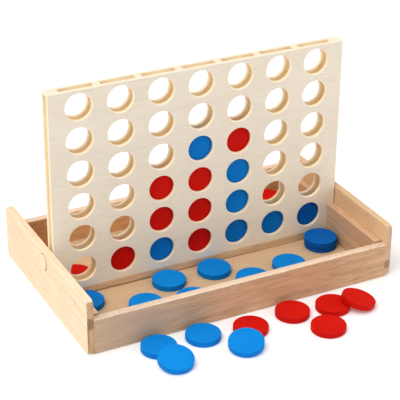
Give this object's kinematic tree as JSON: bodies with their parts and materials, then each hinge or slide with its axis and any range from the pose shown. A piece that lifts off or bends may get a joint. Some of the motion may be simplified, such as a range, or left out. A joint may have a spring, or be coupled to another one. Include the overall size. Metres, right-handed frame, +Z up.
{
  "type": "four in a row game",
  "caption": "Upright two-sheet playing frame with round see-through holes, standing on guide pins in an open wooden storage tray, with painted wooden discs.",
  "frame": {"origin": "middle of the tray's underside, on the surface that it stands on", "axes": "+X along the tray to the right as the players at the front see it, +Y to the rear of the tray, +Z up"},
  "size_m": [0.2838, 0.2425, 0.1875],
  "materials": {
    "floor_ply": "lacquered plywood",
    "wall_wood": "clear lacquered solid wood",
    "side_wood": "clear lacquered solid wood",
    "rail_wood": "clear lacquered solid wood",
    "pin_wood": "turned wood, satin",
    "sheet_ply": "sanded pale plywood",
    "core_ply": "plywood strip",
    "blue_paint": "satin painted wood",
    "red_paint": "satin painted wood"
  },
  "bodies": {
    "tray": {"tray_floor": "floor_ply", "front_wall": "wall_wood", "back_wall": "wall_wood", "left_side_wall": "side_wood", "right_side_wall": "side_wood", "front_left_rail": "rail_wood", "front_right_rail": "rail_wood", "rear_left_rail": "rail_wood", "rear_right_rail": "rail_wood", "sill_strip": "rail_wood", "left_guide_pin": "pin_wood", "right_guide_pin": "pin_wood"},
    "playing_frame": {"front_sheet": "sheet_ply", "back_sheet": "sheet_ply", "left_end_post": "core_ply", "right_end_post": "core_ply", "left_edge_strip": "core_ply", "right_edge_strip": "core_ply", "bottom_strip": "core_ply", "divider_1": "core_ply", "divider_2": "core_ply", "divider_3": "core_ply", "divider_4": "core_ply", "divider_5": "core_ply", "divider_6": "core_ply"},
    "red_disc_col2_row1": {"red_disc_col2_row1": "red_paint"},
    "blue_disc_col3_row1": {"blue_disc_col3_row1": "blue_paint"},
    "red_disc_col3_row2": {"red_disc_col3_row2": "red_paint"},
    "red_disc_col3_row3": {"red_disc_col3_row3": "red_paint"},
    "red_disc_col4_row1": {"red_disc_col4_row1": "red_paint"},
    "red_disc_col4_row2": {"red_disc_col4_row2": "red_paint"},
    "red_disc_col4_row3": {"red_disc_col4_row3": "red_paint"},
    "blue_disc_col4_row4": {"blue_disc_col4_row4": "blue_paint"},
    "blue_disc_col5_row1": {"blue_disc_col5_row1": "blue_paint"},
    "blue_disc_col5_row2": {"blue_disc_col5_row2": "blue_paint"},
    "blue_disc_col5_row3": {"blue_disc_col5_row3": "blue_paint"},
    "red_disc_col5_row4": {"red_disc_col5_row4": "red_paint"},
    "blue_disc_col6_row1": {"blue_disc_col6_row1": "blue_paint"},
    "blue_disc_col7_row1": {"blue_disc_col7_row1": "blue_paint"},
    "blue_disc_front_1": {"blue_disc_front_1": "blue_paint"},
    "blue_disc_front_2": {"blue_disc_front_2": "blue_paint"},
    "blue_disc_front_3": {"blue_disc_front_3": "blue_paint"},
    "blue_disc_front_4": {"blue_disc_front_4": "blue_paint"},
    "blue_disc_front_5": {"blue_disc_front_5": "blue_paint"},
    "blue_disc_front_6": {"blue_disc_front_6": "blue_paint"},
    "blue_disc_front_7": {"blue_disc_front_7": "blue_paint"},
    "blue_disc_front_8": {"blue_disc_front_8": "blue_paint"},
    "blue_disc_front_9": {"blue_disc_front_9": "blue_paint"},
    "red_disc_rear_1": {"red_disc_rear_1": "red_paint"},
    "red_disc_rear_2": {"red_disc_rear_2": "red_paint"},
    "red_disc_rear_3": {"red_disc_rear_3": "red_paint"},
    "blue_disc_table_1": {"blue_disc_table_1": "blue_paint"},
    "blue_disc_table_2": {"blue_disc_table_2": "blue_paint"},
    "blue_disc_table_3": {"blue_disc_table_3": "blue_paint"},
    "red_disc_table_1": {"red_disc_table_1": "red_paint"},
    "red_disc_table_2": {"red_disc_table_2": "red_paint"},
    "blue_disc_table_4": {"blue_disc_table_4": "blue_paint"},
    "red_disc_table_3": {"red_disc_table_3": "red_paint"},
    "red_disc_table_4": {"red_disc_table_4": "red_paint"},
    "red_disc_table_5": {"red_disc_table_5": "red_paint"}
  },
  "joints": [
    {"name": "frame_lift", "type": "slide", "parent": "tray", "child": "playing_frame", "axis": [0, 0, 1], "range_m": [0, 0.045]},
    {"name": "lift_red_disc_col2_row1", "type": "slide", "parent": "playing_frame", "child": "red_disc_col2_row1", "axis": [0, 0, 1], "range_m": [0, 0.1755]},
    {"name": "lift_blue_disc_col3_row1", "type": "slide", "parent": "playing_frame", "child": "blue_disc_col3_row1", "axis": [0, 0, 1], "range_m": [0, 0.014]},
    {"name": "lift_red_disc_col3_row2", "type": "slide", "parent": "blue_disc_col3_row1", "child": "red_disc_col3_row2", "axis": [0, 0, 1], "range_m": [0, 0.014]},
    {"name": "lift_red_disc_col3_row3", "type": "slide", "parent": "red_disc_col3_row2", "child": "red_disc_col3_row3", "axis": [0, 0, 1], "range_m": [0, 0.1173]},
    {"name": "lift_red_disc_col4_row1", "type": "slide", "parent": "playing_frame", "child": "red_disc_col4_row1", "axis": [0, 0, 1], "range_m": [0, 0.014]},
    {"name": "lift_red_disc_col4_row2", "type": "slide", "parent": "red_disc_col4_row1", "child": "red_disc_col4_row2", "axis": [0, 0, 1], "range_m": [0, 0.014]},
    {"name": "lift_red_disc_col4_row3", "type": "slide", "parent": "red_disc_col4_row2", "child": "red_disc_col4_row3", "axis": [0, 0, 1], "range_m": [0, 0.014]},
    {"name": "lift_blue_disc_col4_row4", "type": "slide", "parent": "red_disc_col4_row3", "child": "blue_disc_col4_row4", "axis": [0, 0, 1], "range_m": [0, 0.0882]},
    {"name": "lift_blue_disc_col5_row1", "type": "slide", "parent": "playing_frame", "child": "blue_disc_col5_row1", "axis": [0, 0, 1], "range_m": [0, 0.014]},
    {"name": "lift_blue_disc_col5_row2", "type": "slide", "parent": "blue_disc_col5_row1", "child": "blue_disc_col5_row2", "axis": [0, 0, 1], "range_m": [0, 0.014]},
    {"name": "lift_blue_disc_col5_row3", "type": "slide", "parent": "blue_disc_col5_row2", "child": "blue_disc_col5_row3", "axis": [0, 0, 1], "range_m": [0, 0.014]},
    {"name": "lift_red_disc_col5_row4", "type": "slide", "parent": "blue_disc_col5_row3", "child": "red_disc_col5_row4", "axis": [0, 0, 1], "range_m": [0, 0.0882]},
    {"name": "lift_blue_disc_col6_row1", "type": "slide", "parent": "playing_frame", "child": "blue_disc_col6_row1", "axis": [0, 0, 1], "range_m": [0, 0.1755]},
    {"name": "lift_blue_disc_col7_row1", "type": "slide", "parent": "playing_frame", "child": "blue_disc_col7_row1", "axis": [0, 0, 1], "range_m": [0, 0.1755]},
    {"name": "lift_blue_disc_front_1", "type": "slide", "parent": "tray", "child": "blue_disc_front_1", "axis": [0, 0, 1], "range_m": [0, 0.04]},
    {"name": "lift_blue_disc_front_2", "type": "slide", "parent": "tray", "child": "blue_disc_front_2", "axis": [0, 0, 1], "range_m": [0, 0.04]},
    {"name": "lift_blue_disc_front_3", "type": "slide", "parent": "tray", "child": "blue_disc_front_3", "axis": [0, 0, 1], "range_m": [0, 0.04]},
    {"name": "lift_blue_disc_front_4", "type": "slide", "parent": "tray", "child": "blue_disc_front_4", "axis": [0, 0, 1], "range_m": [0, 0.04]},
    {"name": "lift_blue_disc_front_5", "type": "slide", "parent": "tray", "child": "blue_disc_front_5", "axis": [0, 0, 1], "range_m": [0, 0.04]},
    {"name": "lift_blue_disc_front_6", "type": "slide", "parent": "tray", "child": "blue_disc_front_6", "axis": [0, 0, 1], "range_m": [0, 0.04]},
    {"name": "lift_blue_disc_front_7", "type": "slide", "parent": "tray", "child": "blue_disc_front_7", "axis": [0, 0, 1], "range_m": [0, 0.04]},
    {"name": "lift_blue_disc_front_8", "type": "slide", "parent": "tray", "child": "blue_disc_front_8", "axis": [0, 0, 1], "range_m": [0, 0.04]},
    {"name": "lift_blue_disc_front_9", "type": "slide", "parent": "blue_disc_front_8", "child": "blue_disc_front_9", "axis": [0, 0, 1], "range_m": [0, 0.04]},
    {"name": "lift_red_disc_rear_1", "type": "slide", "parent": "tray", "child": "red_disc_rear_1", "axis": [0, 0, 1], "range_m": [0, 0.04]},
    {"name": "lift_red_disc_rear_2", "type": "slide", "parent": "tray", "child": "red_disc_rear_2", "axis": [0, 0, 1], "range_m": [0, 0.04]},
    {"name": "lift_red_disc_rear_3", "type": "slide", "parent": "red_disc_rear_2", "child": "red_disc_rear_3", "axis": [0, 0, 1], "range_m": [0, 0.04]},
    {"name": "lift_blue_disc_table_1", "type": "slide", "parent": "tray", "child": "blue_disc_table_1", "axis": [0, 0, 1], "range_m": [0, 0.02]},
    {"name": "lift_blue_disc_table_2", "type": "slide", "parent": "tray", "child": "blue_disc_table_2", "axis": [0, 0, 1], "range_m": [0, 0.02]},
    {"name": "lift_blue_disc_table_3", "type": "slide", "parent": "blue_disc_table_1", "child": "blue_disc_table_3", "axis": [0, 0, 1], "range_m": [0, 0.02]},
    {"name": "lift_red_disc_table_1", "type": "slide", "parent": "tray", "child": "red_disc_table_1", "axis": [0, 0, 1], "range_m": [0, 0.02]},
    {"name": "lift_red_disc_table_2", "type": "slide", "parent": "tray", "child": "red_disc_table_2", "axis": [0, 0, 1], "range_m": [0, 0.02]},
    {"name": "lift_blue_disc_table_4", "type": "slide", "parent": "red_disc_table_2", "child": "blue_disc_table_4", "axis": [0, 0, 1], "range_m": [0, 0.02]},
    {"name": "lift_red_disc_table_3", "type": "slide", "parent": "tray", "child": "red_disc_table_3", "axis": [0, 0, 1], "range_m": [0, 0.02]},
    {"name": "lift_red_disc_table_4", "type": "slide", "parent": "tray", "child": "red_disc_table_4", "axis": [0, 0, 1], "range_m": [0, 0.02]},
    {"name": "lift_red_disc_table_5", "type": "slide", "parent": "red_disc_table_3", "child": "red_disc_table_5", "axis": [0, 0, 1], "range_m": [0, 0.02]}
  ]
}
